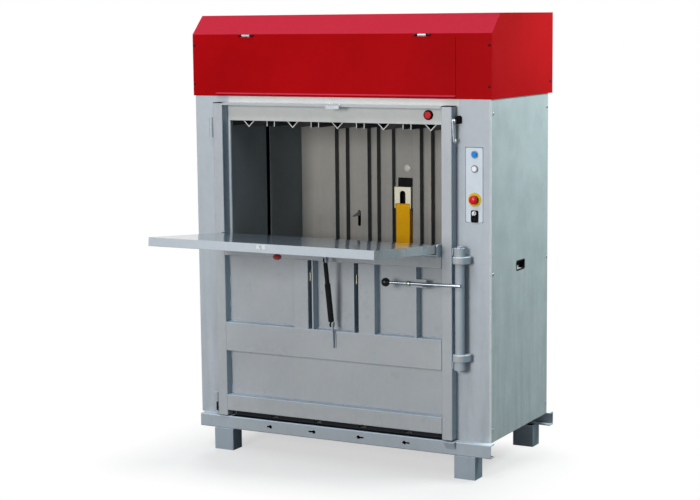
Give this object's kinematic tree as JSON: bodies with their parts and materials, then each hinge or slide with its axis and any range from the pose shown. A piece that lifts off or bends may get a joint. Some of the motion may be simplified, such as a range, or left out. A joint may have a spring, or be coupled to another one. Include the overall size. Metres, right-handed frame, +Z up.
{
  "type": "vertical recycling baler",
  "caption": "Upright press for waste bales: swing door with a fold-down loading flap, ram with strap guides, red hood, side lock and push buttons.",
  "frame": {"origin": "on the floor under the middle of the whole machine with its flap down", "axes": "+X to the machine's right as seen from its front, +Y to its rear, +Z up"},
  "size_m": [1.503, 1.3582, 2.0035],
  "materials": {
    "body_paint": "semi-gloss light grey paint",
    "frame_paint": "semi-gloss blue-grey paint",
    "wall_paint": "grey paint, rubbed inside the chamber",
    "hood_paint": "gloss red paint",
    "platen_paint": "dark grey paint",
    "flap_steel": "smooth grey paint, reflective",
    "zinc": "zinc plated",
    "steel": "plain steel",
    "rod_chrome": "ground and chromed",
    "black_steel": "black paint",
    "black_plastic": "matt black",
    "rubber": "matt",
    "webbing": "woven orange-yellow webbing",
    "blue_plastic": "gloss blue",
    "white_plastic": "gloss white",
    "red_plastic": "gloss red",
    "yellow_plastic": "gloss yellow",
    "tank_paint": "dark blue-grey paint"
  },
  "bodies": {
    "machine": {"base_frame": "frame_paint", "feet": "frame_paint", "door_ramp": "black_steel", "chamber_floor": "wall_paint", "front_plate": "body_paint", "side_panels": "body_paint", "cover_screws": "zinc", "finger_grips": "black_plastic", "chamber_walls": "wall_paint", "back_wall": "wall_paint", "ejector_hook": "zinc", "ejector_sling": "webbing", "roof_plate": "body_paint", "hood": "hood_paint", "hatch_hinges": "black_steel", "oil_tank": "tank_paint", "motor_pump": "tank_paint", "valve_block": "tank_paint", "cylinder_tubes": "tank_paint", "frame_hinges": "frame_paint", "control_panel": "body_paint", "button_rings": "steel", "estop_ring": "yellow_plastic", "black_bezels": "black_plastic", "lock_brackets": "frame_paint", "interlock_switch": "black_plastic"},
    "hatch": {"hatch": "hood_paint", "hatch_knuckles": "zinc"},
    "ram": {"platen": "platen_paint", "platen_ribs": "platen_paint", "ram_arms": "platen_paint", "cylinder_rods": "rod_chrome"},
    "door": {"door_stiles": "frame_paint", "stile_caps": "black_plastic", "door_rails": "frame_paint", "door_skin": "frame_paint", "strap_posts": "frame_paint", "strap_hooks": "zinc", "door_hinges": "frame_paint", "lever_holder": "frame_paint", "strike_plate": "zinc", "flap_lugs": "frame_paint", "strut_link": "frame_paint", "lock_keepers": "frame_paint", "interlock_link": "zinc"},
    "flap": {"flap": "flap_steel", "flap_brackets": "frame_paint", "flap_buffer": "rubber"},
    "latch": {"latch_bolt": "steel", "latch_knob": "red_plastic"},
    "strut_lower": {"strut_shroud": "black_steel"},
    "strut_upper": {"strut_cylinder": "black_steel"},
    "lock": {"lock_tube": "frame_paint", "lock_lever": "black_steel", "lever_knob": "black_plastic"},
    "blue_button": {"blue_button": "blue_plastic"},
    "white_button": {"white_button": "white_plastic"},
    "header_button": {"header_button": "red_plastic"},
    "estop": {"estop_head": "red_plastic"},
    "selector": {"selector": "white_plastic"}
  },
  "joints": [
    {"name": "door_swing", "type": "hinge", "parent": "machine", "child": "door", "pos_m": [-0.6405, -0.03885, 0.8], "axis": [0, 0, -1], "range_deg": [0, 110]},
    {"name": "flap_fold", "type": "hinge", "parent": "door", "child": "flap", "pos_m": [-0.0045, -0.07885, 0.99], "axis": [-1, 0, 0], "range_deg": [0, 85.36]},
    {"name": "strut_turn", "type": "hinge", "parent": "door", "child": "strut_lower", "pos_m": [-0.0065, -0.07585, 0.636], "axis": [-1, 0, 0], "range_deg": [-1, 8]},
    {"name": "strut_stroke", "type": "slide", "parent": "strut_lower", "child": "strut_upper", "axis": [0, -0.1751, 0.9846], "range_m": [0, 0.11]},
    {"name": "latch_slide", "type": "slide", "parent": "flap", "child": "latch", "axis": [0, -0.9967, 0.0809], "range_m": [0, 0.007]},
    {"name": "lock_turn", "type": "hinge", "parent": "machine", "child": "lock", "pos_m": [0.6085, -0.05285, 0.745], "axis": [0, 0, 1], "range_deg": [0, 100]},
    {"name": "ram_stroke", "type": "slide", "parent": "machine", "child": "ram", "axis": [0, 0, -1], "range_m": [0, 0.625]},
    {"name": "hatch_lift", "type": "hinge", "parent": "machine", "child": "hatch", "pos_m": [-0.0045, -0.01885, 1.913], "axis": [-1, 0, 0], "range_deg": [0, 100]},
    {"name": "blue_press", "type": "slide", "parent": "machine", "child": "blue_button", "axis": [0, 1, 0], "range_m": [0, 0.003], "stiffness_N_per_m": 400},
    {"name": "white_press", "type": "slide", "parent": "machine", "child": "white_button", "axis": [0, 1, 0], "range_m": [0, 0.003], "stiffness_N_per_m": 400},
    {"name": "header_press", "type": "slide", "parent": "machine", "child": "header_button", "axis": [0, 1, 0], "range_m": [0, 0.003], "stiffness_N_per_m": 400},
    {"name": "estop_press", "type": "slide", "parent": "machine", "child": "estop", "axis": [0, 1, 0], "range_m": [0, 0.005], "stiffness_N_per_m": 600},
    {"name": "selector_turn", "type": "hinge", "parent": "machine", "child": "selector", "pos_m": [0.661, -0.01085, 1.157], "axis": [0, -1, 0], "range_deg": [0, 60]}
  ],
  "couplings": [
    {"joint": "strut_turn", "follows": "flap_fold", "ratio": 0.011373},
    {"joint": "strut_stroke", "follows": "flap_fold", "m_per_rad": 0.06887}
  ]
}
